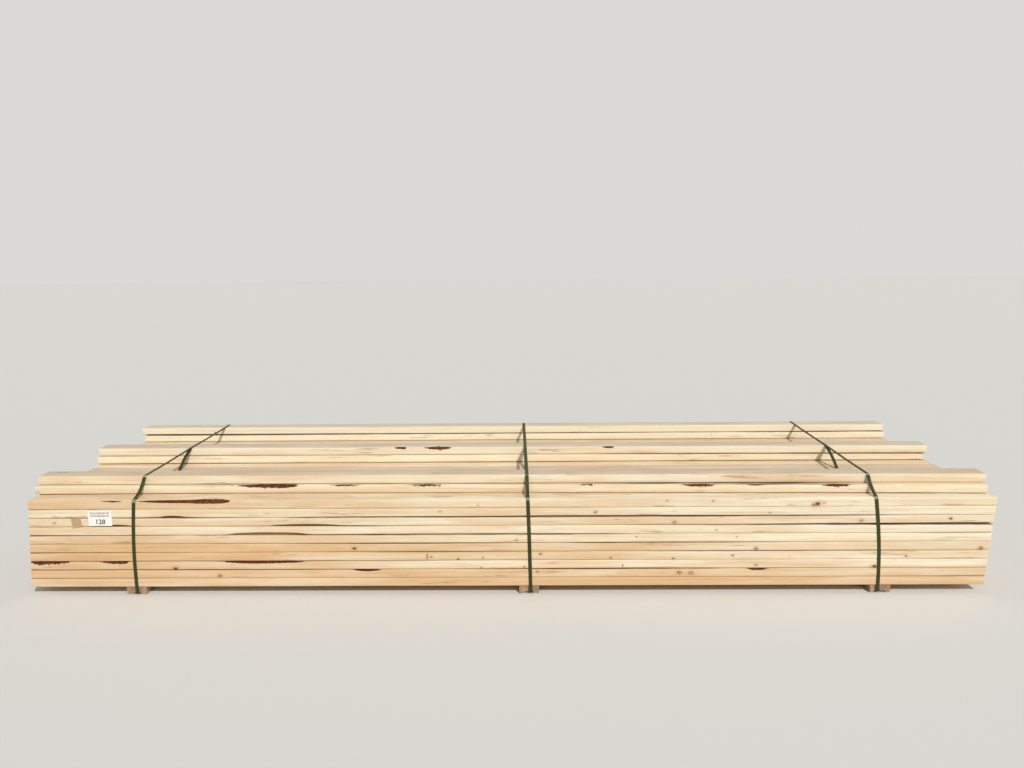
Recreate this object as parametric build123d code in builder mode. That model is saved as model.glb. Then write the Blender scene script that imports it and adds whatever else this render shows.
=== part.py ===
"""A strapped bundle of pine studs lying on three pieces of dunnage.

The studs run along X, the front of the bundle faces -Y and +Z is up.
The origin is on the floor, under the middle of the bundle.
"""

import os
from collections import namedtuple
from math import cos, radians, sin, tan

from build123d import *

# Stud: the length that such stock is sold in, and the section that it is planed to while green
stud_length = 4267.2
stud_width = 90.5
stud_thickness = 39.7
stud_edge_ease = 3.0

# Full layers of studs lying flat, side by side
studs_across = 13
full_layers = 10
side_gap = 1.5
layer_gap = 0.8

# Uneven ends: studs behind the front ones slide along X, and the pile leans to the right as it rises
end_scatter = 5.0
scatter_step = 2.4
lean_per_layer = 2.6

# Studs left of the upper layers, in ridges with open valleys between them, the lower stud first:
# setback of its middle from the front face, slide along X, turn in degrees, and crook, which is
# how far its ends come forward of its middle
RidgeStud = namedtuple("RidgeStud", "setback slide turn crook")
front_ridge = [RidgeStud(99.0, -6.0, -0.55, 30.0), RidgeStud(106.0, 3.0, -0.35, 10.0)]
middle_ridge = [RidgeStud(628.0, -2.0, 0.3, 4.0), RidgeStud(621.0, 5.0, -0.25, 6.0)]
back_ridge_slides = (14.0, 3.0)
back_ridge_crook = 2.0

# Dunnage across the bundle, under the straps
dunnage_width = 88.9
dunnage_thickness = 38.1
dunnage_edge_ease = 2.5
dunnage_recess = 6.0
dunnage_gap = 0.3
groove_width = 24.0
groove_depth = 9.0

# Straps: how far in from the stud ends they stand at the front of the dunnage, how far each leans
# along X on its way up the front face, and how far it drifts along X on its way to the back face
strap_width = 16.0
strap_thickness = 0.9
strap_bend_radius = 3.0
strap_bends = 5
strap_gap = 0.3
left_overhang = 466.0
centre_offset = 109.4
right_overhang = 479.2
left_lean = 21.0
centre_lean = -11.0
right_lean = -34.0
left_skew = -10.0
centre_skew = -14.0
right_skew = 26.0

# Weld on the middle ridge, and the loose tail that hangs from it into the valley
weld_length = 45.0
weld_press = 0.3
tail_reach = 150.0
tail_rest = 45.0
tail_bend_radius = 35.0

# Tag card and scrap of tape on the front face
card_width = 105.0
card_height = 70.0
card_thickness = 0.5
card_inset = 329.0
card_layer = 8.5
tape_width = 44.0
tape_height = 52.0
tape_thickness = 0.3
tape_inset = 222.0
tape_layer = 8.0
tape_turn = 8.0
paper_gap = 0.2

# Sizes worked out from those above
stud_pitch = stud_width + side_gap
layer_pitch = stud_thickness + layer_gap
bundle_width = studs_across * stud_pitch - side_gap
front_face = -bundle_width / 2
back_face = bundle_width / 2
load_bottom = dunnage_thickness + dunnage_gap
full_top = load_bottom + full_layers * layer_pitch - layer_gap
ridge_top = full_top + len(front_ridge) * layer_pitch
back_ridge_setback = bundle_width - stud_width
back_ridge = [RidgeStud(back_ridge_setback, slide, 0.0, back_ridge_crook) for slide in back_ridge_slides]
straps = {
    "left": (left_overhang - stud_length / 2, left_lean, left_skew),
    "centre": (centre_offset, centre_lean, centre_skew),
    "right": (stud_length / 2 - right_overhang, right_lean, right_skew),
}


def layer_middle(layer):
    """Height of the middle of a layer, counted from 1 at the bottom."""
    return load_bottom + (layer - 1) * layer_pitch + stud_thickness / 2


def left_end(layer, column):
    """Place of a stud's left end, with its own scatter and the lean of the pile."""
    scatter = end_scatter * sin(scatter_step * column * layer)
    lean = lean_per_layer * (layer - (full_layers + 1) / 2)
    return scatter + lean - stud_length / 2


def ridge_face(stud, place):
    """The front face of a ridge stud at a place along the bundle."""
    bow = stud.crook * (2 * place / stud_length) ** 2
    return front_face + stud.setback + place * tan(radians(stud.turn)) - bow


def on_strap(plane, points):
    """Points of a strap's own plane, from their places across the bundle and their heights."""
    normal = plane.z_dir
    placed = []
    for across, height in points:
        flat = Vector(plane.origin.X, across, height)
        along = (plane.origin - flat).dot(normal) / normal.X
        placed.append(plane.to_local_coords(flat + Vector(along, 0, 0)))
    return placed


os.makedirs("parts", exist_ok=True)

# Section of a stud, its long edges eased
with BuildSketch() as stud_section:
    Rectangle(stud_width, stud_thickness)
    chamfer(stud_section.vertices(), stud_edge_ease)

# Full layers
for layer in range(1, full_layers + 1):
    with BuildPart() as stud_layer:
        for column in range(studs_across):
            stud_middle = front_face + stud_width / 2 + column * stud_pitch
            with BuildSketch(Plane.YZ.offset(left_end(layer, column))):
                with Locations((stud_middle, layer_middle(layer))):
                    add(stud_section.sketch)
            extrude(amount=stud_length)
    stud_layer.part.label = f"layer_{layer:02d}"
    export_step(stud_layer.part, f"parts/layer_{layer:02d}.step")

# Ridges: each stud follows the gentle arc of its crook
ridges = {"front": front_ridge, "middle": middle_ridge, "back": back_ridge}
for name, studs in ridges.items():
    with BuildPart() as ridge:
        for level, stud in enumerate(studs, start=full_layers + 1):
            middle = Vector(stud.slide, front_face + stud.setback + stud_width / 2, layer_middle(level))
            reach = Vector(stud_length / 2, 0, 0).rotate(Axis.Z, stud.turn)
            forward = Vector(0, -stud.crook, 0)
            with BuildLine():
                bow = ThreePointArc(middle - reach + forward, middle, middle + reach + forward)
            across = Vector(0, 0, 1).cross(bow % 0)
            with BuildSketch(Plane(bow @ 0, x_dir=across, z_dir=bow % 0)):
                add(stud_section.sketch)
            sweep()
    ridge.part.label = f"ridge_{name}"
    export_step(ridge.part, f"parts/ridge_{name}.step")

# Dunnage, with the groove for its strap in the underside
for name, (place, lean_length, skew_length) in straps.items():
    middle = place + skew_length / 2
    with BuildPart() as dunnage:
        with BuildSketch(Plane.XZ.offset(-back_face + dunnage_recess)) as dunnage_section:
            with Locations((middle, dunnage_thickness / 2)):
                Rectangle(dunnage_width, dunnage_thickness)
            chamfer(dunnage_section.vertices(), dunnage_edge_ease)
            with Locations((middle, 0)):
                Rectangle(groove_width + abs(skew_length), 2 * groove_depth, mode=Mode.SUBTRACT)
        extrude(amount=bundle_width - 2 * dunnage_recess)
    dunnage.part.label = f"dunnage_{name}"
    export_step(dunnage.part, f"parts/dunnage_{name}.step")

# Straps: a loop round dunnage and studs, its ends welded on the middle ridge
for name, (place, lean_length, skew_length) in straps.items():
    lean = lean_length / full_top
    skew = skew_length / bundle_width
    corner = (place - strap_width / 2 - lean * groove_depth, front_face, 0)
    strap_plane = Plane(corner, x_dir=(skew, 1, 0), z_dir=(1, -skew, -lean))
    top_place = place + lean_length
    front_corner = ridge_face(front_ridge[-1], top_place) - strap_gap
    middle_corner = ridge_face(middle_ridge[-1], top_place)
    groove_roof = groove_depth - strap_gap
    shelf = full_top + strap_gap
    ridge_seat = ridge_top + strap_gap
    weld_seat = ridge_seat + strap_thickness - weld_press
    tail_seat = strap_thickness / 2
    route = [
        (front_face - strap_gap, groove_roof),
        (front_face - strap_gap, shelf),
        (front_corner, ridge_seat),
        (middle_corner, weld_seat),
        (middle_corner + weld_length, weld_seat),
        (back_face + strap_gap, ridge_seat),
        (back_face + strap_gap, groove_roof),
    ]
    tail_route = [
        (middle_corner + weld_length - strap_bend_radius, ridge_seat + tail_seat),
        (middle_corner - strap_bend_radius, ridge_seat + tail_seat),
        (middle_corner - tail_reach, shelf + tail_seat),
        (middle_corner - tail_reach - tail_rest, shelf + tail_seat),
    ]

    with BuildPart() as strap:
        with BuildSketch(strap_plane) as strap_loop:
            with BuildLine():
                Polyline(*on_strap(strap_plane, route), close=True)
            make_face()
            fillet(strap_loop.vertices().sort_by(Axis.Y)[:strap_bends], strap_bend_radius)
            offset(amount=strap_thickness)
            offset(amount=-strap_thickness, mode=Mode.SUBTRACT)
            with BuildLine():
                FilletPolyline(*on_strap(strap_plane, tail_route), radius=tail_bend_radius)
            trace(line_width=strap_thickness)
        extrude(amount=strap_width, dir=(1, 0, 0))
    strap.part.label = f"strap_{name}"
    export_step(strap.part, f"parts/strap_{name}.step")

# Tag card and scrap of tape
papers = {
    "tag_card": (card_width, card_height, card_thickness, card_inset, card_layer, 0.0),
    "tape_scrap": (tape_width, tape_height, tape_thickness, tape_inset, tape_layer, tape_turn),
}
for name, (width, height, thickness, inset, layer, turn) in papers.items():
    with BuildPart() as paper:
        with BuildSketch(Plane.XZ.offset(-front_face + paper_gap)):
            with Locations((inset - stud_length / 2, layer_middle(layer))):
                Rectangle(width, height, rotation=turn)
        extrude(amount=thickness)
    paper.part.label = name
    export_step(paper.part, f"parts/{name}.step")
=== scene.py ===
"""The looks of a strapped bundle of pine studs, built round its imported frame."""

import math

import bmesh
import bpy
from mathutils import Matrix, Vector, noise


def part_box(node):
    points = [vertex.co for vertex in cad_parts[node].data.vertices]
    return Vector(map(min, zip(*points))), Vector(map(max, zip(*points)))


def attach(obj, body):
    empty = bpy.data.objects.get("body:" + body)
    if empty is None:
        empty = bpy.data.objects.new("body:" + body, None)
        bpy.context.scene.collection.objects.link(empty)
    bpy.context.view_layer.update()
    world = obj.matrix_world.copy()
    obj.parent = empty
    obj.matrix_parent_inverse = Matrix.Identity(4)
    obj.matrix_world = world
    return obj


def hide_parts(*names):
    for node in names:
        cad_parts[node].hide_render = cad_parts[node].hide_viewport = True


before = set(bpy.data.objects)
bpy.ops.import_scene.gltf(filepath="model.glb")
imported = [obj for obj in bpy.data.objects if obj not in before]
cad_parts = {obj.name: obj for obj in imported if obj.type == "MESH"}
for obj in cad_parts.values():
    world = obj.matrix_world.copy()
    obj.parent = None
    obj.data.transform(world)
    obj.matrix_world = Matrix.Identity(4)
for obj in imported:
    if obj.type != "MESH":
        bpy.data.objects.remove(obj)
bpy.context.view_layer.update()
scene = bpy.context.scene

# Studs of the full layers
# Planed pine two-by-fours lying flat, thirteen to a layer, sawn square, long edges eased.
# The stack is loose: seams open and close along it, and a few front studs keep bark on an edge.
FULL_LAYERS = 10
STUDS_ACROSS = 13
STUD_WIDTH = 0.0905
STUD_THICKNESS = 0.0397
STUD_EASE = 0.003
# How many cuts make the short lengths of a stud at the front, and of one inside
FRONT_CUTS = 190
INNER_CUTS = 26
# How far the upper and lower faces of a stud sag between its neighbours, and its front face
SEAM_SAG = 0.0009
FACE_SAG = 0.0014
# How near counts as touching, and how sharp an edge is that isn't shaded round
TOUCH = 0.0002
SHARP = math.radians(50)
# How far in from the front edges a stud is cut once more, and how far in bark can reach
RIM = 0.012
BARK_BAND = 0.013
# How much less tan the open top of a front stud is than its front
TOP_PALER = 0.35
# Where the pith of the tree lies from a stud's middle: its range sideways, its least height, and
# how much higher it may be
PITH_ASIDE = 0.12
PITH_ABOVE = 0.05
PITH_HIGHER = 0.10
# How dark an eased edge is painted, as dirt with painted shade, and an edge in a seam, whose painted
# shade deepens as the seam opens
EDGE_DIRT_AND_SHADE = 0.3
SEAM_SHADE = 0.35
OPEN_SEAM_SHADE = 900
# How tan each front stud is, from the lowest layer up, at three places along X
TONE_PLACES = (-1.53, 0.20, 1.47)
FRONT_TONES = (
    (0.55, 1.25, 0.68), (1.00, 0.68, 0.60), (0.85, 0.23, -0.10), (0.85, 0.42, 0.18),
    (1.05, 0.80, 0.24), (0.66, 0.20, -0.34), (0.30, 0.01, -0.22), (0.36, 0.27, 0.23),
    (0.30, 0.33, -0.13), (0.80, 0.33, -0.02),
)
# How wide the seam under a front stud stands open at places along X, in metres, by layer
OPEN_SEAMS = {
    2: ((-2.1, 0.0014), (-1.2, 0.0008), (0.6, 0.0010), (1.6, 0.0010), (2.1, 0.0020)),
    3: (
        (-2.1, 0.0016), (-1.0, 0.0018), (-0.3, 0.0010), (0.2, 0.0028), (0.6, 0.0040), (1.0, 0.0011),
        (2.1, 0.0012),
    ),
    4: ((-2.1, 0.0016), (-0.5, 0.0014), (0.4, 0.0008), (2.1, 0.0008)),
    5: (
        (-2.1, 0.0020), (-1.5, 0.0009), (-1.0, 0.0008), (-0.3, 0.0018), (0.2, 0.0008), (0.6, 0.0011),
        (1.0, 0.0021), (2.1, 0.0012),
    ),
    6: (
        (-2.1, 0.0009), (-1.4, 0.0008), (-1.0, 0.0012), (-0.4, 0.0028), (0.2, 0.0012), (0.6, 0.0030),
        (1.0, 0.0018), (1.4, 0.0008), (2.1, 0.0009),
    ),
    7: (
        (-2.1, 0.0024), (-1.4, 0.0010), (-1.0, 0.0014), (-0.6, 0.0038), (-0.1, 0.0045), (0.2, 0.0030),
        (0.6, 0.0009), (1.4, 0.0008), (2.1, 0.0016),
    ),
    8: (
        (-2.1, 0.0012), (-1.5, 0.0008), (-1.0, 0.0012), (-0.6, 0.0018), (-0.3, 0.0008), (0.3, 0.0008),
        (1.0, 0.0020), (1.4, 0.0060), (2.1, 0.0090),
    ),
    9: (
        (-2.1, 0.0012), (-1.5, 0.0028), (-1.0, 0.0009), (-0.6, 0.0048), (-0.2, 0.0030), (0.2, 0.0060),
        (0.6, 0.0060), (1.0, 0.0042), (1.4, 0.0032), (1.8, 0.0010), (2.1, 0.0008),
    ),
    10: ((-2.1, 0.0014), (-1.4, 0.0008), (0.2, 0.0009), (2.1, 0.0008)),
    "front foot": ((-2.1, 0.0040), (-1.0, 0.0016), (0.5, 0.0014), (1.8, 0.0028), (2.1, 0.0040)),
    "front": ((-2.1, 0.0012), (0.3, 0.0014), (1.2, 0.0026), (1.7, 0.0009), (2.1, 0.0009)),
    "middle foot": ((-2.1, 0.0036), (-0.6, 0.0022), (0.9, 0.0026), (2.1, 0.0022)),
    "middle": ((-2.1, 0.0014), (0.4, 0.0012), (1.0, 0.0030), (2.1, 0.0032)),
    "back foot": ((-2.1, 0.0012), (0.5, 0.0018), (2.1, 0.0012)),
    "back": ((-2.1, 0.0075), (-1.2, 0.0050), (-0.2, 0.0022), (1.2, 0.0018), (2.1, 0.0040)),
}
SEAM_SHUT = 0.0008


def opening(seam, x):
    """How far one side of a seam draws back from its closed width at a place along X."""
    profile = OPEN_SEAMS.get(seam, ((-2.1, SEAM_SHUT), (2.1, SEAM_SHUT)))
    for (left, start), (right, end) in zip(profile, profile[1:]):
        if x <= right or right == profile[-1][0]:
            share = min(1.0, max(0.0, (x - left) / (right - left)))
            return max(0.0, start + (end - start) * share - SEAM_SHUT) / 2
    return 0.0


# Bark or wane along edges of front studs: layer, start and end along X, deepest place between them
# as a share, depth, top or bottom edge, and how much of the bark has peeled off
BARK_STRETCHES = (
    (10, -1.900, -1.640, 0.60, 0.0020, 1, 0.2),
    (10, -1.760, -1.216, 0.93, 0.0080, 1, 0.3),
    (3, -2.150, -1.945, 0.20, 0.0070, 1, 0.0),
    (3, -1.860, -1.690, 0.80, 0.0060, 1, 0.0),
    (3, -1.340, -0.840, 0.40, 0.0045, 1, 0.2),
    (7, -1.290, -0.860, 0.48, 0.0065, -1, 1.0),
    (8, -1.178, -0.600, 0.50, 0.0032, -1, 0.6),
    (2, -0.740, -0.520, 0.50, 0.0030, 1, 0.3),
    (2, 1.040, 1.200, 0.40, 0.0026, 1, 0.2),
    (9, -1.620, -1.380, 0.60, 0.0024, -1, 0.4),
    (8, -1.960, -1.620, 0.60, 0.0030, -1, 0.3),
)


def linear(red, green, blue):
    """A colour as it looks on screen, 0 to 255, as the linear values that a shader takes."""
    channels = [value / 255 for value in (red, green, blue)]
    return [v / 12.92 if v <= 0.04045 else ((v + 0.055) / 1.055) ** 2.4 for v in channels] + [1.0]


def chance(*numbers):
    """A repeatable random number from 0 to 1 that belongs to these numbers."""
    return noise.cell(Vector([n * 1.37 + 0.5 for n in (*numbers, 0, 0)][:3])) % 1.0


class Nodes:
    """Short ways to place and join shader nodes in one tree."""

    def __init__(self, tree):
        self.tree = tree

    def link(self, value, socket):
        """Joins an output to a socket, or gives the socket a value of its own."""
        if isinstance(value, bpy.types.NodeSocket):
            self.tree.links.new(value, socket)
        else:
            socket.default_value = value

    def add(self, kind, inputs=None, **settings):
        node = self.tree.nodes.new(kind)
        for name, value in settings.items():
            setattr(node, name, value)
        for name, value in (inputs or {}).items():
            self.link(value, node.inputs[name])
        return node

    def math(self, operation, first, second=0.0, third=0.0):
        inputs = {0: first, 1: second, 2: third}
        return self.add("ShaderNodeMath", inputs, operation=operation).outputs[0]

    def vector(self, operation, first, second=(0, 0, 0)):
        node = self.add("ShaderNodeVectorMath", {0: first, 1: second}, operation=operation)
        return node.outputs["Value"] if operation == "LENGTH" else node.outputs["Vector"]

    def split(self, value):
        return self.add("ShaderNodeSeparateXYZ", {0: value}).outputs

    def ramp(self, value, low, high, start=0.0, end=1.0):
        inputs = {"Value": value, "From Min": low, "From Max": high, "To Min": start, "To Max": end}
        return self.add("ShaderNodeMapRange", inputs, interpolation_type="SMOOTHSTEP").outputs[0]

    def noise(self, place, stretch, scale, detail=2.0, roughness=0.5):
        """Noise that is finer along the axes where its stretch is larger."""
        place = self.vector("MULTIPLY", place, stretch)
        inputs = {"Vector": place, "Scale": scale, "Detail": detail, "Roughness": roughness}
        return self.add("ShaderNodeTexNoise", inputs).outputs["Fac"]

    def mix(self, factor, first, second):
        """Mixes two colours, by the places of the node's colour sockets."""
        inputs = {0: factor, 6: first, 7: second}
        return self.add("ShaderNodeMix", inputs, data_type="RGBA").outputs[2]

    def attribute(self, name, output="Fac"):
        return self.add("ShaderNodeAttribute", attribute_name=name).outputs[output]

    def bump(self, height, distance, strength):
        inputs = {"Height": height, "Distance": distance, "Strength": strength}
        return self.add("ShaderNodeBump", inputs).outputs["Normal"]


def new_group(name, inputs, outputs):
    """An empty shader group with these inputs and outputs, and its node helper."""
    tree = bpy.data.node_groups.new(name, "ShaderNodeTree")
    for label, kind in inputs.items():
        tree.interface.new_socket(label, in_out="INPUT", socket_type=kind)
    for label, kind in outputs.items():
        tree.interface.new_socket(label, in_out="OUTPUT", socket_type=kind)
    nodes = Nodes(tree)
    return tree, nodes, nodes.add("NodeGroupInput").outputs, nodes.add("NodeGroupOutput").inputs


YEAR_RING = 0.0036


def pine_grain():
    """Growth rings round a pith, branch knots that run out from it, streaks and fibre."""
    tree, n, given, out = new_group(
        "pine grain",
        {"Place": "NodeSocketVector", "Seed": "NodeSocketFloat"},
        {"Rings": "NodeSocketFloat", "Streaks": "NodeSocketFloat", "Fibre": "NodeSocketFloat",
         "Knot": "NodeSocketFloat", "Halo": "NodeSocketFloat", "Heart": "NodeSocketFloat"},
    )
    place, seed = given["Place"], given["Seed"]
    # The pith wanders a little along the stud
    slow = n.vector("MULTIPLY", place, (0.9, 5.0, 5.0))
    drift = n.add("ShaderNodeTexNoise", {"Vector": slow, "Scale": 1.6, "Detail": 3.0}).outputs["Color"]
    drift = n.vector("MULTIPLY", n.vector("SUBTRACT", drift, (0.5, 0.5, 0.5)), (0.0, 0.03, 0.03))
    along, side, rise = n.split(n.vector("ADD", place, drift))

    def knots(spacing, smallest, largest, shift):
        """One row of branches along the pith: how much a point is in a knot, and near one."""
        where = n.math("MULTIPLY_ADD", along, 1 / spacing, n.math("MULTIPLY_ADD", seed, 37.0, shift))
        cells = n.add("ShaderNodeTexVoronoi", {"W": where, "Scale": 1.0}, voronoi_dimensions="1D")
        reach = n.math("MULTIPLY", n.math("SUBTRACT", where, cells.outputs["W"]), spacing)
        turn_pick, size_pick, run_pick = n.split(cells.outputs["Color"])
        angle = n.math("MULTIPLY", turn_pick, math.pi)
        sine, cosine = n.math("SINE", angle), n.math("COSINE", angle)
        off = n.math("SUBTRACT", n.math("MULTIPLY", rise, cosine), n.math("MULTIPLY", side, sine))
        outward = n.math("ADD", n.math("MULTIPLY", side, cosine), n.math("MULTIPLY", rise, sine))
        far = n.math("ADD", n.math("MULTIPLY", reach, reach), n.math("MULTIPLY", off, off))
        far = n.math("SQRT", far)
        size = n.math("MULTIPLY_ADD", n.math("POWER", size_pick, 2.0), largest - smallest, smallest)
        ratio = n.math("DIVIDE", far, size)
        centre = n.math("MULTIPLY_ADD", run_pick, 0.13, 0.03)
        run = n.math("DIVIDE", n.math("ABSOLUTE", n.math("SUBTRACT", outward, centre)), size)
        ahead = n.ramp(run, 3.0, 1.6)
        return (
            n.math("MULTIPLY", n.ramp(ratio, 1.1, 0.75), ahead),
            n.math("MULTIPLY", n.ramp(ratio, 3.2, 0.6), ahead),
        )

    large, large_halo = knots(spacing=0.42, smallest=0.003, largest=0.008, shift=0.0)
    small, small_halo = knots(spacing=0.20, smallest=0.0014, largest=0.0055, shift=11.3)
    halo = n.math("MAXIMUM", large_halo, small_halo)
    n.link(n.math("MAXIMUM", large, small), out["Knot"])
    n.link(halo, out["Halo"])

    # Each year's wood darkens outwards, some years more than others, and rings bend round knots
    radius = n.vector("LENGTH", n.add("ShaderNodeCombineXYZ", {1: side, 2: rise}).outputs[0])
    radius = n.math("MULTIPLY_ADD", halo, 0.006, radius)
    year = n.math("FRACT", n.math("DIVIDE", radius, YEAR_RING))
    late = n.math("MULTIPLY", n.ramp(year, 0.35, 0.9), n.ramp(year, 1.0, 0.93))
    strength = n.add(
        "ShaderNodeTexNoise", {"W": n.math("ADD", radius, seed), "Scale": 95.0, "Detail": 2.0},
        noise_dimensions="1D").outputs["Fac"]
    n.link(n.math("MULTIPLY", late, n.ramp(strength, 0.3, 0.7, 0.35, 1.0)), out["Rings"])

    # Streaks and fibre run along the stud, and heartwood shows in long patches
    n.link(n.ramp(n.noise(place, (0.55, 34.0, 34.0), 1.5, 4.0, 0.6), 0.33, 0.68), out["Streaks"])
    n.link(n.noise(place, (6.0, 420.0, 420.0), 1.2), out["Fibre"])
    n.link(n.ramp(n.noise(place, (0.75, 9.0, 9.0), 1.3), 0.48, 0.72), out["Heart"])
    return tree


GRAIN = pine_grain()
# Marks that show on the front face: layer, place along X, height in the layer, width, how dark
FRONT_KNOTS = (
    (3, -1.485, 0.13, 0.016, 0.95), (2, -1.287, 0.27, 0.018, 0.6), (8, -2.012, 0.43, 0.012, 0.5),
    (5, -0.676, 0.41, 0.017, 0.9), (4, -0.333, 0.42, 0.009, 0.7), (4, -0.214, 0.14, 0.009, 0.8),
    (4, -0.103, 0.32, 0.009, 0.6), (4, 0.154, 0.71, 0.012, 0.7), (4, 0.466, 0.22, 0.010, 0.6),
    (4, 0.743, 0.11, 0.010, 0.7), (2, 0.771, 0.52, 0.022, 0.55), (2, 0.823, 0.46, 0.026, 0.4),
    (9, 0.396, 0.46, 0.014, 0.6), (8, 0.744, 0.30, 0.018, 0.45), (6, 0.047, 0.29, 0.010, 0.6),
    (5, 1.107, 0.25, 0.018, 0.6), (3, 1.110, 0.34, 0.012, 0.6), (3, 1.633, 0.15, 0.018, 0.9),
    (8, 1.951, 0.59, 0.013, 0.8), (5, 2.093, 0.21, 0.020, 0.6), (8, 1.562, 0.37, 0.017, 0.45),
    (4, 1.005, 0.48, 0.010, 0.7), (4, 1.769, 0.34, 0.010, 0.6), (10, 1.367, 0.31, 0.020, 0.95),
    (6, 0.579, 0.65, 0.008, 0.6), (10, 1.350, 0.18, 0.015, 0.6), (10, 1.396, 0.38, 0.013, 0.35),
    (9, -0.290, 0.62, 0.010, 0.45), (10, -0.120, 0.30, 0.009, 0.4), (10, 0.910, 0.70, 0.010, 0.5),
    (10, 0.710, 0.72, 0.009, 0.45), (7, 0.930, 0.40, 0.008, 0.6), (3, -0.110, 0.12, 0.009, 0.5),
    (2, 0.140, 0.62, 0.012, 0.55), (6, 1.020, 0.60, 0.007, 0.5), (9, 1.160, 0.30, 0.009, 0.45),
)


def new_material(name):
    """A material, the helper for its nodes, and the inputs of its shader."""
    material = bpy.data.materials.new(name)
    material.use_nodes = True
    n = Nodes(material.node_tree)
    return material, n, n.tree.nodes["Principled BSDF"].inputs


PINK_WOOD = linear(238, 204, 174)
HEARTWOOD = linear(216, 170, 124)
STREAKED_WOOD = linear(232, 197, 142)
BANDED_WOOD = linear(206, 160, 104)
LATE_WOOD = linear(202, 150, 92)
FIBRE_TINT = linear(196, 150, 104)
# Near-white wood that the palest studs wash towards: pale wood, partly a painted highlight.
PALE_GLARE_WOOD = linear(248, 242, 219)
GREYED_WOOD = linear(205, 181, 158)
SAWN_WOOD = linear(214, 178, 128)


def clear_wood(n, place, grain, sawn, light, tan):
    """Wood between the knots: its tone by stud and place, pink and tan patches, rings, and a painted
    highlight that washes the palest studs towards white.
    """
    tone = n.attribute("stud_tone")
    # The palest studs are washed white with faded grain: pale wood, with a painted highlight of glare.
    pale_glare = n.ramp(tone, -0.8, -0.05, 0.65, 0.0)
    zones = n.noise(place, (1.5, 14.0, 14.0), 1.3, 3.0, 0.6)
    tone = n.math("ADD", tone, n.ramp(zones, 0.34, 0.66, -0.24, 0.26))
    colour = n.mix(n.math("MINIMUM", n.math("MAXIMUM", tone, 0.0), 1.0), light, tan)
    pink = n.noise(place, (2.3, 26.0, 26.0), 1.1)
    colour = n.mix(n.ramp(pink, 0.52, 0.66, 0.0, 0.45), colour, PINK_WOOD)
    colour = n.mix(n.math("MULTIPLY", grain["Heart"], 0.45), colour, HEARTWOOD)
    colour = n.mix(n.math("MULTIPLY", grain["Streaks"], 0.34), colour, STREAKED_WOOD)
    bands = n.noise(place, (1.1, 75.0, 75.0), 1.0, 3.0, 0.6)
    colour = n.mix(n.ramp(bands, 0.52, 0.72, 0.0, 0.42), colour, BANDED_WOOD)
    ring_share = n.math("MULTIPLY", grain["Rings"], n.ramp(sawn, 0.0, 1.0, 0.34, 0.75))
    colour = n.mix(ring_share, colour, LATE_WOOD)
    fibre_share = n.math("MULTIPLY", n.ramp(grain["Fibre"], 0.52, 0.8), 0.25)
    colour = n.mix(fibre_share, colour, FIBRE_TINT)
    return n.mix(pale_glare, colour, PALE_GLARE_WOOD)


def weathered_wood(n, colour, place, worn):
    """Greys the faces that lie open to the sky, in blotches."""
    blotch = n.noise(place, (2.2, 22.0, 22.0), 1.4, 4.0, 0.65)
    grey = n.math("MULTIPLY", worn, n.ramp(blotch, 0.25, 0.75, 0.35, 0.9))
    return n.mix(grey, colour, GREYED_WOOD)


def knotty_wood(n, colour, grain):
    """Tints the wood round each knot, and darkens the knot by its own rings."""
    colour = n.mix(n.math("MULTIPLY", grain["Halo"], 0.4), colour, linear(205, 152, 98))
    knot_tint = n.mix(grain["Rings"], linear(132, 82, 46), linear(84, 48, 28))
    return n.mix(n.math("MULTIPLY", grain["Knot"], 0.65), colour, knot_tint)


def marked_wood(n, colour, object_place, marks):
    """Adds the single dark marks of the front face, a little out of round."""
    warp = n.add("ShaderNodeTexNoise", {"Vector": object_place, "Scale": 70.0}).outputs["Color"]
    warp = n.vector("SUBTRACT", warp, (0.5, 0.5, 0.5))
    for layer, across, height, width, dark in marks:
        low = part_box(f"layer_{layer:02d}")[0]
        centre = (across, low.y, low.z + height * STUD_THICKNESS)
        swirl = n.vector("SUBTRACT", object_place, centre)
        swirl = n.vector("ADD", swirl, n.vector("MULTIPLY", warp, (0.006, 0.0, 0.005)))
        away = n.vector("LENGTH", n.vector("MULTIPLY", swirl, (0.8, 0.35, 1.15)))
        away = n.math("DIVIDE", away, width / 2)
        colour = n.mix(n.ramp(away, 2.8, 0.9, 0.0, 0.4 * dark), colour, linear(194, 138, 84))
        colour = n.mix(n.ramp(away, 1.15, 0.55, 0.0, dark), colour, linear(96, 56, 32))
    return colour


def smudged_and_seam_shaded_wood(n, colour, place, sawn):
    """Adds rare brown smudges, and dark paint along the edges, dirt with painted seam shade, but not on
    the sawn ends.
    """
    smudge = n.noise(place, (4.5, 60.0, 60.0), 1.0, 5.0, 0.7)
    rare = n.noise(place, (0.8, 8.0, 8.0), 1.7, 1.0)
    smudged = n.math("MULTIPLY", n.ramp(smudge, 0.55, 0.66), n.ramp(rare, 0.48, 0.62, 0.0, 0.6))
    colour = n.mix(smudged, colour, linear(150, 104, 66))
    patchy = n.noise(place, (3.0, 40.0, 40.0), 1.0, 4.0, 0.7)
    # Dark brown on the eased edges: dirt, and painted shade in the seams.
    edge_dirt_and_shade = n.ramp(n.attribute("edge"), 0.3, 0.95)
    edge_dirt_and_shade = n.math("MULTIPLY", edge_dirt_and_shade, n.ramp(patchy, 0.35, 0.65, 0.25, 0.85))
    edge_dirt_and_shade = n.math("MULTIPLY", edge_dirt_and_shade, n.math("SUBTRACT", 1.0, sawn))
    return n.mix(edge_dirt_and_shade, colour, linear(104, 66, 36))


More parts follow.
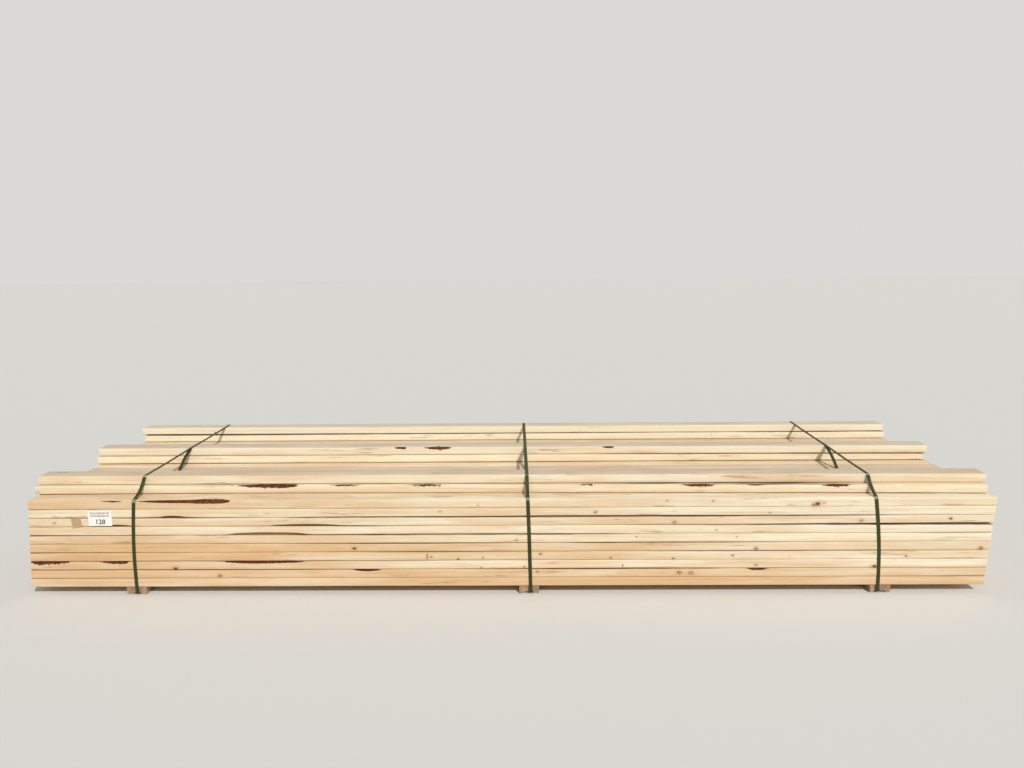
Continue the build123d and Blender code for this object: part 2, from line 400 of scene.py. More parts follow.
def barked_wood(n, colour, object_place):
    """Covers the wood with flaky bark, or with bare wane where the bark has peeled off.

    Gives the colour, where the bark lies, and how high it stands.
    """
    bark = n.attribute("bark")
    peeled = n.attribute("peeled")
    flake = n.noise(object_place, (60.0, 190.0, 190.0), 1.0, 4.0, 0.7)
    bark_tint = n.mix(n.ramp(flake, 0.35, 0.8), linear(64, 30, 14), linear(150, 84, 48))
    bare_tint = n.mix(flake, linear(150, 104, 58), linear(206, 164, 108))
    bark_tint = n.mix(n.ramp(peeled, 0.3, 1.0), bark_tint, bare_tint)
    loose = n.ramp(peeled, 0.0, 0.32, 1.7, 0.2)
    ragged = n.math("ADD", bark, n.math("MULTIPLY", n.math("SUBTRACT", flake, 0.5), loose))
    mask = n.math("MULTIPLY", n.ramp(ragged, 0.42, 0.56), n.ramp(bark, 0.02, 0.2))
    bark_tint = n.mix(n.ramp(ragged, 0.85, 0.5, 0.0, 0.75), bark_tint, linear(60, 28, 12))
    stands = n.math("MULTIPLY", mask, n.math("MULTIPLY", flake, 6.0))
    return n.mix(mask, colour, bark_tint), mask, stands


def pine(name, light, tan, marks=(), end=0.0):
    """Planed pine: grain, tone, weathered tops, sawn ends, bark and single marks.

    Wood that runs along Y instead of X gives the place of its ends, and greys towards the ground.
    """
    material, n, shader = new_material(name)
    object_place = n.add("ShaderNodeTexCoord").outputs["Object"]
    sawn = n.attribute("sawn_end")
    worn = n.attribute("weathered")
    if end:
        # The place across the grain is folded, so that the pith stays near all the pieces
        x, y, z = n.split(object_place)
        sawn = n.ramp(n.math("ABSOLUTE", y), end - 0.0004, end - 0.0001)
        worn = n.ramp(z, 0.0, 0.03, 1.0, 0.5)
        aside = n.math("PINGPONG", x, 0.3)
        object_place = n.add("ShaderNodeCombineXYZ", {0: y, 1: aside, 2: z}).outputs[0]
    place = n.vector("ADD", object_place, n.attribute("grain_shift", "Vector"))
    given = {"Place": place, "Seed": n.attribute("stud_seed")}
    grain = n.add("ShaderNodeGroup", given, node_tree=GRAIN).outputs

    colour = clear_wood(n, place, grain, sawn, light, tan)
    colour = weathered_wood(n, colour, place, worn)
    colour = knotty_wood(n, colour, grain)
    colour = marked_wood(n, colour, object_place, marks)
    colour = smudged_and_seam_shaded_wood(n, colour, place, sawn)
    colour, bark_mask, bark_height = barked_wood(n, colour, object_place)
    kerf = n.noise(object_place, (1.0, 25.0, 900.0), 1.0)
    kerf_share = n.math("MULTIPLY", sawn, n.ramp(kerf, 0.35, 0.75, 0.0, 0.35))
    colour = n.mix(kerf_share, colour, SAWN_WOOD)
    if end:
        soil = n.noise(object_place, (9.0, 30.0, 30.0), 1.0, 4.0, 0.65)
        colour = n.mix(n.ramp(soil, 0.3, 0.7, 0.3, 0.65), colour, linear(104, 84, 72))
    n.link(colour, shader["Base Color"])

    rough = n.math("MULTIPLY_ADD", grain["Fibre"], 0.18, 0.5)
    rough = n.math("MAXIMUM", rough, n.math("MULTIPLY", n.math("MAXIMUM", bark_mask, sawn), 0.85))
    n.link(rough, shader["Roughness"])
    height = n.math("MULTIPLY_ADD", grain["Fibre"], 0.35, n.math("MULTIPLY", grain["Rings"], 0.25))
    height = n.math("ADD", height, bark_height)
    height = n.math("ADD", height, n.math("MULTIPLY", sawn, n.math("MULTIPLY", kerf, 0.5)))
    n.link(n.bump(height, 0.0004, 0.6), shader["Normal"])
    n.link(0.3, shader["Specular IOR Level"])
    return material


PINE_LIGHT = linear(249, 242, 217)
PINE_TAN = linear(222, 185, 143)
stud_pine = pine("planed pine", PINE_LIGHT, PINE_TAN)
front_pine = pine("planed pine of the front studs", PINE_LIGHT, PINE_TAN, FRONT_KNOTS)
POINT_VALUES = ("bark", "peeled", "edge", "stud_tone", "stud_seed")
FACE_VALUES = ("sawn_end", "weathered")


def new_mesh():
    """A bmesh that carries the values that the pine material reads."""
    mesh = bmesh.new()
    for label in POINT_VALUES:
        mesh.verts.layers.float.new(label)
    for label in FACE_VALUES:
        mesh.faces.layers.float.new(label)
    mesh.verts.layers.float_vector.new("grain_shift")
    return mesh


def long_edges(mesh, least):
    """The edges that run along X for more than this length."""
    return [e for e in mesh.edges if abs(e.verts[0].co.x - e.verts[1].co.x) > least]


def wooden_bar(low, high, cuts, rims):
    """A bar along X with eased long edges, cut into short lengths, and along its front edges."""
    bar = new_mesh()
    size = high - low
    place = Matrix.Translation((low + high) / 2) @ Matrix.Diagonal((*size, 1.0))
    bmesh.ops.create_cube(bar, size=1.0, matrix=place)
    bmesh.ops.bevel(
        bar, geom=long_edges(bar, size.x / 2), offset=STUD_EASE, offset_type="OFFSET",
        segments=2, profile=0.5, affect="EDGES", material=-1)
    if rims:
        for spot, normal in (
            ((0, low.y + RIM, 0), (0, 1, 0)),
            ((0, 0, high.z - RIM), (0, 0, 1)),
            ((0, 0, low.z + RIM), (0, 0, 1)),
        ):
            everything = [*bar.verts, *bar.edges, *bar.faces]
            bmesh.ops.bisect_plane(bar, geom=everything, plane_co=spot, plane_no=normal)
    bmesh.ops.subdivide_edges(bar, edges=long_edges(bar, size.x / 2), cuts=cuts)
    return bar


def joined(mesh, part):
    """Adds one bar to the mesh of its piece."""
    data = bpy.data.meshes.new("bar")
    part.to_mesh(data)
    part.free()
    mesh.from_mesh(data)
    bpy.data.meshes.remove(data)


def tone_at(tones, x):
    """How tan a stud is at a place along X."""
    for index in (0, 1):
        left, right = TONE_PLACES[index:index + 2]
        if x < right or index == 1:
            share = min(1.0, max(0.0, (x - left) / (right - left)))
            return tones[index] + (tones[index + 1] - tones[index]) * share


def keep_bark(point, values, stretch, up, near, fine):
    """Draws the edge of a stud in, and marks it as bark, where this stretch covers the point."""
    start, end, peak, depth, edge, peeled = stretch
    along = (point.co.x - start) / (end - start)
    if not 0 < along < 1 or edge != up or near <= 0:
        return
    swell = along / peak if along < peak else (1 - along) / (1 - peak)
    swell = swell ** (0.8 if along < peak else 0.5) * (0.9 + 0.35 * fine * (1 - peeled))
    point.co += Vector((0, 0.5, -0.85 * up)) * depth * swell * min(1.0, 1.6 * near)
    kept = min(1.0, 1.3 * swell * (0.4 + near) * (0.22 + 105 * depth))
    point[values["bark"]] = max(point[values["bark"]], kept)
    point[values["peeled"]] = peeled


def stud(low, high, seed, tones, cuts, weathered, stretches, front, seams):
    """One stud, sagging a little between its neighbours, with bark where its edge kept it."""
    bar = wooden_bar(low, high, cuts, front)
    shift = bar.verts.layers.float_vector["grain_shift"]
    values = {label: bar.verts.layers.float[label] for label in POINT_VALUES}
    middle = (low + high) / 2
    pith = Vector((3.7 * seed, 0, 0))
    pith.y = -middle.y + PITH_ASIDE * (chance(seed, 1) - 0.5)
    pith.z = -middle.z + PITH_ABOVE + PITH_HIGHER * chance(seed, 2)
    sawn, worn = (bar.faces.layers.float[label] for label in FACE_VALUES)
    bar.normal_update()
    for face in bar.faces:
        face[sawn] = 1.0 if abs(face.normal.x) > 0.9 else 0.0
        face[worn] = weathered if face.normal.z > 0.9 else 0.0
    for point in bar.verts:
        x = point.co.x
        up = 1 if point.co.z > middle.z else -1
        seam = seams[(up + 1) // 2]
        in_seam = front and seam in OPEN_SEAMS
        in_open = front and up > 0 and not in_seam and not weathered
        wave = noise.noise(Vector((x * 0.9 + seed, seed * 3.1, up)))
        fine = noise.noise(Vector((x * 7.0, seed * 5.3, up)))
        sideways = min(abs(point.co.y - low.y), abs(point.co.y - high.y))
        upright = min(abs(point.co.z - low.z), abs(point.co.z - high.z))
        # Eased edges get dirt with painted shade; in a seam the painted shade deepens as the seam opens.
        if sideways < STUD_EASE * 0.9 and upright < STUD_EASE * 1.1:
            point[values["edge"]] = EDGE_DIRT_AND_SHADE
        if in_seam and upright < STUD_EASE * 0.9:
            point[values["edge"]] = min(1.0, SEAM_SHADE + OPEN_SEAM_SHADE * opening(seam, x))
        corner = Vector((x, low.y, high.z if up > 0 else low.z))
        near = 1 - (point.co - corner).length / BARK_BAND
        sag = SEAM_SAG * max(0.0, 0.45 + wave + 0.25 * fine)
        if front:
            sag = SEAM_SAG * max(0.0, 0.2 + 0.4 * wave + 0.4 * fine) + opening(seam, x)
        point.co.z -= up * sag
        if point.co.y < middle.y:
            dip = noise.noise(Vector((x * 0.5, seed * 7.7, 5.0)))
            point.co.y += FACE_SAG * max(0.0, 0.5 + dip)
        point[shift] = pith
        point[values["stud_seed"]] = seed
        paler = TOP_PALER if in_open and upright < TOUCH else 0.0
        point[values["stud_tone"]] = tone_at(tones, x) - paler
        for stretch in stretches:
            keep_bark(point, values, stretch, up, near, fine)
    return bar


def made(mesh, name, material):
    """The mesh as an object of this name and material."""
    data = bpy.data.meshes.new(name)
    mesh.to_mesh(data)
    mesh.free()
    data.materials.append(material)
    piece = bpy.data.objects.new(name, data)
    scene.collection.objects.link(piece)
    return piece


def studs_made(mesh, name, material, node):
    """The studs as one shaded piece that stands for its node."""
    bmesh.ops.recalc_face_normals(mesh, faces=mesh.faces[:])
    for edge in mesh.edges:
        edge.smooth = edge.calc_face_angle(math.pi) < SHARP
    for face in mesh.faces:
        face.smooth = True
    piece = made(mesh, name, material)
    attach(piece, "root")
    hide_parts(node)


def stud_span(node, front, back, bottom, top):
    """Where a stud of this node starts and ends along X, from the node's own corners."""
    along = [
        v.co.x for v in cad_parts[node].data.vertices
        if front - TOUCH < v.co.y < back + TOUCH and bottom - TOUCH < v.co.z < top + TOUCH
    ]
    return min(along), max(along)


for layer in range(1, FULL_LAYERS + 1):
    node = f"layer_{layer:02d}"
    box_low, box_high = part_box(node)
    pitch = (box_high.y - box_low.y - STUD_WIDTH) / (STUDS_ACROSS - 1)
    mesh = new_mesh()
    for column in range(STUDS_ACROSS):
        y = box_low.y + column * pitch
        left, right = stud_span(node, y, y + STUD_WIDTH, box_low.z, box_high.z)
        low = Vector((left, y, box_low.z))
        high = Vector((right, y + STUD_WIDTH, box_high.z))
        seed = layer + 0.37 * column
        front = column == 0
        tones = FRONT_TONES[layer - 1] if front else [0.15 + 0.5 * chance(layer, column)] * 3
        stretches = [b[1:] for b in BARK_STRETCHES if front and b[0] == layer]
        weathered = 0.15 + 0.6 * chance(column, 4) if layer == FULL_LAYERS and column > 0 else 0.0
        cuts = FRONT_CUTS if front else INNER_CUTS
        seams = (layer, layer + 1)
        joined(mesh, stud(low, high, seed, tones, cuts, weathered, stretches, front, seams))
    studs_made(mesh, f"studs_{layer:02d}", front_pine, node)

# Studs of the ridges
# Two studs high, the front and middle ridges turned and bowed a little by handling.
# Their upper faces have greyed in the open, and the front edges keep strips of bark.
# The back ridge's palest tones are partly a painted highlight of glare.
RIDGE_TONES = {"front": (-0.06, 0.14), "middle": (-0.45, -0.35), "back": (-0.60, -0.55)}
RIDGE_GREYED = {"front": 0.72, "middle": 0.85, "back": 0.75}
# How far the right end of a ridge stud is pushed forward
RIDGE_PUSH = {("middle", 0): 0.016}
# How far in from a stud's end its corners count as the end's, and the share round its middle
END_ZONE = 0.01
MIDDLE_ZONE = 0.3
RIDGE_BARK = {
    ("front", 0): (
        (-1.300, -0.940, 0.78, 0.0085, 1, 0.15), (-0.830, -0.640, 0.50, 0.0035, 1, 0.1),
        (-0.470, -0.250, 0.40, 0.0035, 1, 0.1), (0.300, 0.420, 0.50, 0.0025, 1, 0.1),
        (0.760, 0.950, 0.50, 0.0050, 1, 0.1), (1.000, 1.260, 0.40, 0.0022, 1, 0.3),
        (1.390, 1.550, 0.50, 0.0045, 1, 0.1),
    ),
    ("middle", 1): (
        (-0.600, -0.515, 0.50, 0.0050, 1, 0.1), (-0.455, -0.285, 0.55, 0.0070, 1, 0.1),
        (0.460, 0.560, 0.60, 0.0040, 1, 0.2),
    ),
}


def ridge_stud_place(node, bottom, top):
    """Both ends of a stud along X, its front face there, and how far its middle is bowed back."""
    corners = [
        v.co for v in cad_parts[node].data.vertices
        if bottom - TOUCH < v.co.z < top + TOUCH
    ]
    left, right = min(c.x for c in corners), max(c.x for c in corners)

    def face(low, high):
        return min(c.y for c in corners if low <= c.x <= high)

    start, end = face(left, left + END_ZONE), face(right - END_ZONE, right)
    half = (right - left) / 2
    near = [c for c in corners if abs(c.x - left - half) < half * MIDDLE_ZONE]
    deepest = min(c.y for c in near) if near else (start + end) / 2
    return left, right, start, end, max(0.0, deepest - (start + end) / 2)


for name, tones in RIDGE_TONES.items():
    node = f"ridge_{name}"
    box_low, box_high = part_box(node)
    mesh = new_mesh()
    for level in range(2):
        bottom = box_low.z if level == 0 else box_high.z - STUD_THICKNESS
        left, right, start, end, bow = ridge_stud_place(node, bottom, bottom + STUD_THICKNESS)
        seed = 21.0 + 3 * len(name) + level
        low = Vector((left, start, bottom))
        high = Vector((right, start + STUD_WIDTH, bottom + STUD_THICKNESS))
        weathered = RIDGE_GREYED[name] if level == 1 else 0.0
        kept = RIDGE_BARK.get((name, level), ())
        seams = (f"{name} foot", name) if level == 0 else (name, None)
        push = RIDGE_PUSH.get((name, level), 0.0)
        bar = stud(low, high, seed, [tones[level]] * 3, FRONT_CUTS, weathered, kept, True, seams)
        for point in bar.verts:
            along = (point.co.x - left) / (right - left)
            point.co.y += (end - start - push) * along + bow * (1 - (2 * along - 1) ** 2)
        joined(mesh, bar)
    studs_made(mesh, f"ridge_studs_{name}", stud_pine, node)

# Dunnage
# Three short planed pieces across the bundle, grooved underneath for the straps.
# Their wood is painted darker for the shade under the bundle, soiled and greyer towards the ground, and
# they stay the frame's own shapes.
DUNNAGE_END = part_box("dunnage_left")[1].y
# Colours darkened as painted shade, for the dunnage sits in shadow under the bundle.
DUNNAGE_LIGHT_IN_SHADE = linear(176, 147, 122)
DUNNAGE_TAN_IN_SHADE = linear(154, 124, 99)


def faced(node, material):
    """Gives one of the frame's own nodes this material."""
    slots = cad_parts[node].data.materials
    slots.clear()
    slots.append(material)


shaded_dunnage_pine = pine("worn dunnage pine in painted shade", DUNNAGE_LIGHT_IN_SHADE, DUNNAGE_TAN_IN_SHADE, end=DUNNAGE_END)
for side in ("left", "centre", "right"):
    faced(f"dunnage_{side}", shaded_dunnage_pine)

# Straps
# Embossed green plastic strapping, its ends welded one over the other on the middle ridge, with a
# loose tail. It is dull, with painted shade in its dimples and a painted glint where it bends over
# the front edge.
STRAP_WIDE = 0.016
STRAP_THICK = 0.0009
STRAP_STEP = 0.006
# Height of the upper strip over the lower one at the weld, how far the strip keeps inside the
# frame's own strap, and its gap from the studs
STRAP_LIFT = 0.0006
STRAP_SKIN = 0.0003
STRAP_GAP = 0.0003
SHELF_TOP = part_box(f"layer_{FULL_LAYERS:02d}")[1].z + STRAP_GAP
GROOVE_ROOF = 0.0083
# How far a strap sags between two ridges, and its tail on the way down
TOP_SAG = 0.002
TAIL_SAG = 0.006
# The weld on the middle ridge, the run of the strap onto it, and the part of it that is printed
WELD_LENGTH = 0.045
WELD_RISE = 0.004
WELD_PRINT = (0.003, 0.042)
# How far the tail hangs forward into the valley, and how far it lies flat there
TAIL_REACH = 0.150
TAIL_REST = 0.045
# Waves of the diamond emboss and of the weld's print, in radians per metre
EMBOSS_WAVES = 1700.0
PRINT_WAVES = 2600.0
# How sharp a bend is that gets the full painted glint, in radians
GLINT_BEND = 0.8
# Lean along X up the front face, and drift along X to the back face, of each strap
STRAP_LEANS = {"left": (0.021, -0.010), "centre": (-0.011, -0.014), "right": (-0.034, 0.026)}
# Where each strap bends over the front and the middle ridge, measured along Y
STRAP_LIPS = {"left": (-0.4854, 0.0308), "centre": (-0.4923, 0.0233), "right": (-0.5073, 0.0139)}
# How far the run up to the front ridge is bowed inwards, and the front run sideways
STRAP_SLACK = {"left": (0.010, -0.008), "centre": (0.003, 0.001), "right": (0.007, 0.009)}


def strapping():
    """Green plastic with a diamond emboss, painted shade in its dimples, dust, and painted glints at
    bends.
    """
    material, n, shader = new_material("green strapping")
    strip = n.attribute("strip", "Vector")
    along, across, _ = n.split(strip)
    first = n.math("SINE", n.math("MULTIPLY", n.math("ADD", along, across), EMBOSS_WAVES))
    second = n.math("SINE", n.math("MULTIPLY", n.math("SUBTRACT", along, across), EMBOSS_WAVES))
    emboss = n.math("MULTIPLY", first, second)
    start, end = WELD_PRINT
    weld = n.math("MULTIPLY", n.ramp(along, start, start + 0.002), n.ramp(along, end, end - 0.002))
    print_lines = n.math("SINE", n.math("MULTIPLY", along, PRINT_WAVES))
    emboss = n.math("ADD", emboss, n.math("MULTIPLY", weld, n.math("MULTIPLY", print_lines, 2.5)))
    dust = n.noise(strip, (14.0, 60.0, 1.0), 1.0, 5.0, 0.65)
    # The emboss is painted darker in its dimples, as shade.
    colour = n.mix(n.ramp(emboss, -0.8, 0.8), linear(45, 47, 22), linear(73, 75, 37))
    colour = n.mix(n.ramp(dust, 0.5, 0.8, 0.0, 0.35), colour, linear(118, 116, 84))
    colour = n.mix(n.math("MULTIPLY", weld, 0.3), colour, linear(110, 124, 84))
    # A painted glint, pale, where the strap bends sharply over an edge.
    colour = n.mix(n.ramp(n.attribute("bend_glint"), 0.5, 1.0, 0.0, 0.5), colour, linear(176, 190, 160))
    n.link(colour, shader["Base Color"])
    n.link(n.ramp(dust, 0.3, 0.8, 0.5, 0.7), shader["Roughness"])
    n.link(0.22, shader["Specular IOR Level"])
    n.link(n.bump(emboss, 0.00025, 0.7), shader["Normal"])
    return material


strap_plastic = strapping()


def dense(corners, bows, step):
    """Points along straight runs between corners, each run bowed by its own vector.

    Cutting every corner twice rounds the bends.
    """
    points = []
    for start, end, bow in zip(corners, corners[1:], bows):
        count = max(2, round((end - start).length / step))
        for index in range(count):
            share = index / count
            points.append(start.lerp(end, share) + bow * math.sin(math.pi * share))
    points.append(corners[-1])
    for _ in range(2):
        cut = [points[0]]
        for start, end in zip(points, points[1:]):
            cut += [start.lerp(end, 0.25), start.lerp(end, 0.75)]
        points = [*cut[::2], points[-1]]
    return points


def strap_corners(side):
    """The corners that one strip passes, from its welded upper end round to its loose tail."""
    lean, skew = STRAP_LEANS[side]
    block_low, block_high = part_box(f"dunnage_{side}")
    place = (block_low.x + block_high.x - skew) / 2
    low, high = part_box(f"strap_{side}")
    front, back = low.y + STRAP_THICK / 2 + STRAP_SKIN, high.y - STRAP_THICK / 2 - STRAP_SKIN
    front_lip, middle_lip = STRAP_LIPS[side]
    ridge = high.z - STRAP_LIFT - STRAP_THICK / 2 - STRAP_SKIN / 2
    shelf = SHELF_TOP + STRAP_THICK / 2

    def at(y, z, aside=0.0):
        x = place + lean * z / SHELF_TOP + skew * (y - front) / (back - front)
        return Vector((x + aside, y, z))

    corners = [
        at(middle_lip + WELD_LENGTH, ridge + STRAP_LIFT),
        at(middle_lip, ridge + STRAP_LIFT),
        at(front_lip, ridge),
        at(front, shelf),
        at(front, GROOVE_ROOF),
        at(back, GROOVE_ROOF),
        at(back, ridge),
        at(middle_lip + WELD_LENGTH + WELD_RISE, ridge),
        at(middle_lip, ridge),
        at(middle_lip - TAIL_REACH, shelf + STRAP_THICK / 4),
        at(middle_lip - TAIL_REACH - TAIL_REST, shelf),
    ]
    still = Vector((0, 0, 0))
    top_sag = Vector((0, 0, -TOP_SAG))
    slack, drift = STRAP_SLACK[side]
    bows = [
        still, top_sag, Vector((0, slack, -slack)), Vector((drift, 0, 0)), still, still, top_sag,
        still, Vector((0, -TAIL_SAG, TAIL_SAG)), still,
    ]
    return corners, bows


def ribbon(side):
    """One strip of strapping, flat on what it touches, turned to follow its path."""
    corners, bows = strap_corners(side)
    path = dense(corners, bows, STRAP_STEP)
    lengths = [0.0]
    for start, end in zip(path, path[1:]):
        lengths.append(lengths[-1] + (end - start).length)
    mesh = bmesh.new()
    bend_glint = mesh.verts.layers.float.new("bend_glint")
    along = mesh.verts.layers.float_vector.new("strip")
    size = Matrix.Diagonal((lengths[-1], STRAP_WIDE, STRAP_THICK, 1.0))
    bmesh.ops.create_cube(mesh, size=1.0, matrix=size)
    half = lengths[-1] / 2
    bmesh.ops.bevel(
        mesh, geom=long_edges(mesh, half), offset=STRAP_THICK * 0.3, offset_type="OFFSET",
        segments=1, profile=0.5, affect="EDGES", material=-1)
    bmesh.ops.subdivide_edges(mesh, edges=long_edges(mesh, half), cuts=len(path) - 2)
    for point in mesh.verts:
        share = point.co.x / lengths[-1] + 0.5
        index = min(len(path) - 1, round(share * (len(path) - 1)))
        ahead = path[min(index + 1, len(path) - 1)] - path[max(index - 1, 0)]
        before = path[index] - path[max(index - 3, 0)]
        after = path[min(index + 3, len(path) - 1)] - path[index]
        ahead.normalize()
        across = Vector((1, 0, 0)) - ahead * ahead.x
        across.normalize()
        normal = ahead.cross(across)
        turn = before.angle(after, 0.0) if before.length and after.length else 0.0
        # How much painted glint this point of a bend gets
        point[bend_glint] = min(1.0, turn / GLINT_BEND) if path[index].z > SHELF_TOP / 2 else 0.0
        point[along] = Vector((lengths[index], point.co.y, 0.0))
        point.co = path[index] + across * point.co.y + normal * point.co.z
    bmesh.ops.recalc_face_normals(mesh, faces=mesh.faces[:])
    piece = made(mesh, f"strapping_{side}", strap_plastic)
    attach(piece, "root")
    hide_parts(f"strap_{side}")


for side in STRAP_LEANS:
    ribbon(side)

# Tag card
# A white card stapled to the front studs, with a plain number under two lines of grey print.
# The print is part of the card's surface, and the number and the staples are pieces of their own.
card_low, card_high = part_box("tag_card")
CARD_MIDDLE = (card_low.x + card_high.x) / 2
CARD_NUMBER = "128"
CARD_NUMBER_SIZE = 0.031
CARD_NUMBER_PLACE = 0.0085
CARD_NUMBER_BOLD = 0.0006
CARD_INK_DEPTH = 0.00015
# Height in the card and thickness of each line of print, half its length, and how fine its letters are
CARD_PRINT = ((0.0585, 0.0095), (0.0460, 0.0095))
CARD_PRINT_REACH = 0.044
CARD_LETTERS = 520.0
STAPLE_WIDE = 0.011
STAPLE_THICK = 0.0007
STAPLE_DROP = 0.006
# Place along X and turn of each staple
STAPLES = ((card_low.x + 0.012, 0.2), (card_high.x - 0.013, -0.15))


def card_stock():
    """White card, a little soiled."""
    material, n, shader = new_material("white card")
    place = n.add("ShaderNodeTexCoord").outputs["Object"]
    soil = n.ramp(n.noise(place, (1.0, 1.0, 1.0), 38.0, 5.0, 0.6), 0.45, 0.8, 0.0, 0.2)
    colour = n.mix(soil, linear(253, 247, 240), linear(206, 196, 182))
    x, _, z = n.split(place)
    letters = n.ramp(n.noise(place, (CARD_LETTERS, 1.0, 1.0), 1.0, 1.0), 0.42, 0.52, 0.25, 0.8)
    aside = n.math("ABSOLUTE", n.math("SUBTRACT", x, CARD_MIDDLE))
    inside = n.ramp(aside, CARD_PRINT_REACH, CARD_PRINT_REACH - 0.001)
    for height, thick in CARD_PRINT:
        off = n.math("ABSOLUTE", n.math("SUBTRACT", z, card_low.z + height))
        printed = n.math("MULTIPLY", n.ramp(off, thick / 2, thick / 2 - 0.0006), inside)
        colour = n.mix(n.math("MULTIPLY", printed, letters), colour, linear(150, 148, 148))
    n.link(colour, shader["Base Color"])
    n.link(0.7, shader["Roughness"])
    return material


faced("tag_card", card_stock())


def plain_material(name, colour, roughness, metallic=0.0):
    """A material that is the same all over."""
    material, n, shader = new_material(name)
    n.link(colour, shader["Base Color"])
    n.link(roughness, shader["Roughness"])
    n.link(metallic, shader["Metallic"])
    return material


def card_number():
    """The printed number, as thin ink on the card."""
    curve = bpy.data.curves.new("number", "FONT")
    curve.body = CARD_NUMBER
    curve.size = CARD_NUMBER_SIZE
    curve.align_x = "CENTER"
    curve.extrude = CARD_INK_DEPTH
    curve.offset = CARD_NUMBER_BOLD
    holder = bpy.data.objects.new("number", curve)
    scene.collection.objects.link(holder)
    bpy.context.view_layer.update()
    evaluated = holder.evaluated_get(bpy.context.evaluated_depsgraph_get())
    data = bpy.data.meshes.new_from_object(evaluated)
    bpy.data.objects.remove(holder)
    data.transform(Matrix.Rotation(math.pi / 2, 4, "X"))
    place = (CARD_MIDDLE, card_low.y, card_low.z + CARD_NUMBER_PLACE)
    data.transform(Matrix.Translation(place))
    data.materials.clear()
    data.materials.append(plain_material("card ink", linear(52, 52, 54), 0.6))
    piece = bpy.data.objects.new("card_number", data)
    scene.collection.objects.link(piece)
    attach(piece, "root")


def staples():
    """Two wire staples that hold the card by its upper corners."""
    mesh = bmesh.new()
    wire = Matrix.Diagonal((STAPLE_WIDE, STAPLE_THICK, STAPLE_THICK, 1.0))
    for x, turn in STAPLES:
        place = Matrix.Translation((x, card_low.y, card_high.z - STAPLE_DROP))
        bmesh.ops.create_cube(mesh, size=1.0, matrix=place @ Matrix.Rotation(turn, 4, "Y") @ wire)
    piece = made(mesh, "staples", plain_material("staple wire", linear(150, 152, 156), 0.35, 1.0))
    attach(piece, "root")


card_number()
staples()

# Scrap of tape
# A torn bit of tan paper tape beside the card, stuck at a slant. Its ends are ragged where it was
# torn, and its sides are the straight edges of the roll.
TAPE_WIDE = 0.0430
TAPE_TALL = 0.0500
TAPE_TURN = math.radians(8)
# How deep the tears go, and how many cuts across make their shape
TAPE_TEAR = 0.0060
TAPE_CUTS = 15


def tape_paper():
    """Tan crepe tape with fine wrinkles across it, painted darker in their hollows as shade."""
    material, n, shader = new_material("tan tape")
    place = n.add("ShaderNodeTexCoord").outputs["Object"]
    wrinkle = n.noise(place, (60.0, 60.0, 420.0), 1.0, 3.0)
    # The colour follows the wrinkles: painted shade in their hollows.
    n.link(n.mix(wrinkle, linear(178, 145, 108), linear(203, 171, 134)), shader["Base Color"])
    n.link(0.75, shader["Roughness"])
    n.link(n.bump(wrinkle, 0.0003, 0.6), shader["Normal"])
    return material


def torn_tape():
    """The scrap, a thin sheet with ragged ends."""
    low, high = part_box("tape_scrap")
    mesh = bmesh.new()
    size = Matrix.Diagonal((TAPE_WIDE, high.y - low.y, TAPE_TALL, 1.0))
    bmesh.ops.create_cube(mesh, size=1.0, matrix=size)
    bmesh.ops.subdivide_edges(mesh, edges=long_edges(mesh, TAPE_WIDE / 2), cuts=TAPE_CUTS)
    for point in mesh.verts:
        up = 1 if point.co.z > 0 else -1
        tear = noise.noise(Vector((point.co.x * 70, up * 3.0, 0)))
        tear += 0.6 * noise.noise(Vector((point.co.x * 260, up, 4.0)))
        point.co.z -= up * TAPE_TEAR * min(1.0, max(0.0, 0.45 + tear))
    mesh.transform(Matrix.Translation((low + high) / 2) @ Matrix.Rotation(-TAPE_TURN, 4, "Y"))
    bmesh.ops.recalc_face_normals(mesh, faces=mesh.faces[:])
    piece = made(mesh, "torn_tape", tape_paper())
    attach(piece, "root")
    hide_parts("tape_scrap")


torn_tape()

# Floor, light and camera
# A plain pale floor, a soft sun from the front right and an even sky. The camera's place and lens
# are those that fit the edges of the studs in the photograph.
FLOOR_HALF = 40.0
SUN_HEIGHT = math.radians(42)
SUN_SIDE = math.radians(25)
SUN_STRENGTH = 2.42
SUN_SPREAD = math.radians(2.5)
SUN_COLOUR = (1.0, 0.98, 0.94)
SKY_STRENGTH = 0.40
SKY_COLOUR = (0.93, 0.97, 1.0, 1.0)
BACKDROP = linear(219, 217, 213)
LENS = 27.59
CAMERA_PLACE = Vector((0.0833, -3.9160, 1.5116))
CAMERA_PITCH = math.radians(9.507)
CAMERA_ROLL = math.radians(-0.519)
CAMERA_YAW = math.radians(-0.858)


def pale_floor():
    """A matt pale floor."""
    mesh = bmesh.new()
    bmesh.ops.create_grid(mesh, x_segments=1, y_segments=1, size=FLOOR_HALF)
    floor = made(mesh, "floor", plain_material("pale floor", linear(226, 224, 220), 0.9))


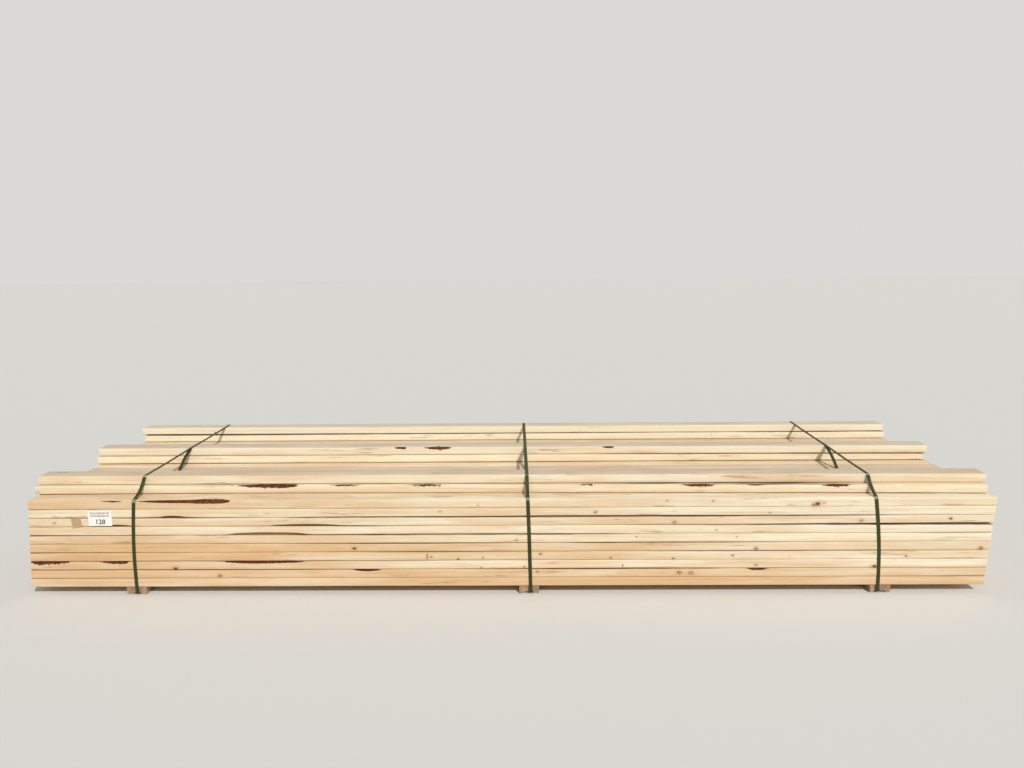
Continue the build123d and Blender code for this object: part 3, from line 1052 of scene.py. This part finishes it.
def sky_and_sun():
    """An even pale sky, and a soft sun from the front right."""
    world = bpy.data.worlds.new("sky")
    scene.world = world
    world.use_nodes = True
    n = Nodes(world.node_tree)
    sky = n.tree.nodes["Background"]
    n.link(SKY_STRENGTH, sky.inputs["Strength"])
    n.link(SKY_COLOUR, sky.inputs["Color"])
    backdrop = n.add("ShaderNodeBackground", {"Color": BACKDROP, "Strength": 1.0})
    paths = n.add("ShaderNodeLightPath").outputs
    seen = n.math("MAXIMUM", paths["Is Glossy Ray"], paths["Is Transmission Ray"])
    seen = n.math("MAXIMUM", paths["Is Camera Ray"], seen)
    blend = n.add("ShaderNodeMixShader", {0: seen, 1: sky.outputs[0], 2: backdrop.outputs[0]})
    n.link(blend.outputs[0], n.tree.nodes["World Output"].inputs["Surface"])
    lamp = bpy.data.lights.new("sun", "SUN")
    lamp.energy = SUN_STRENGTH
    lamp.angle = SUN_SPREAD
    lamp.color = SUN_COLOUR
    sun = bpy.data.objects.new("sun", lamp)
    level = math.cos(SUN_HEIGHT)
    towards = Vector((math.sin(SUN_SIDE) * level, -math.cos(SUN_SIDE) * level, math.sin(SUN_HEIGHT)))
    sun.rotation_euler = towards.to_track_quat("Z", "Y").to_euler()
    scene.collection.objects.link(sun)


def photo_camera():
    """The camera where the photograph was taken from."""
    level = math.cos(CAMERA_PITCH)
    ahead = Vector((math.sin(CAMERA_YAW) * level, math.cos(CAMERA_YAW) * level, -math.sin(CAMERA_PITCH)))
    right = Vector((math.cos(CAMERA_YAW), -math.sin(CAMERA_YAW), 0.0))
    up = right.cross(ahead)
    turned_right = math.cos(CAMERA_ROLL) * right + math.sin(CAMERA_ROLL) * up
    turned_up = math.cos(CAMERA_ROLL) * up - math.sin(CAMERA_ROLL) * right
    data = bpy.data.cameras.new("camera")
    data.lens = LENS
    data.sensor_width = 36.0
    data.sensor_fit = "HORIZONTAL"
    data.clip_end = 200.0
    camera = bpy.data.objects.new("camera", data)
    turn = Matrix((turned_right, turned_up, -ahead)).transposed()
    camera.matrix_world = Matrix.Translation(CAMERA_PLACE) @ turn.to_4x4()
    scene.collection.objects.link(camera)
    scene.camera = camera


pale_floor()
sky_and_sun()
photo_camera()
scene.view_settings.view_transform = "Standard"
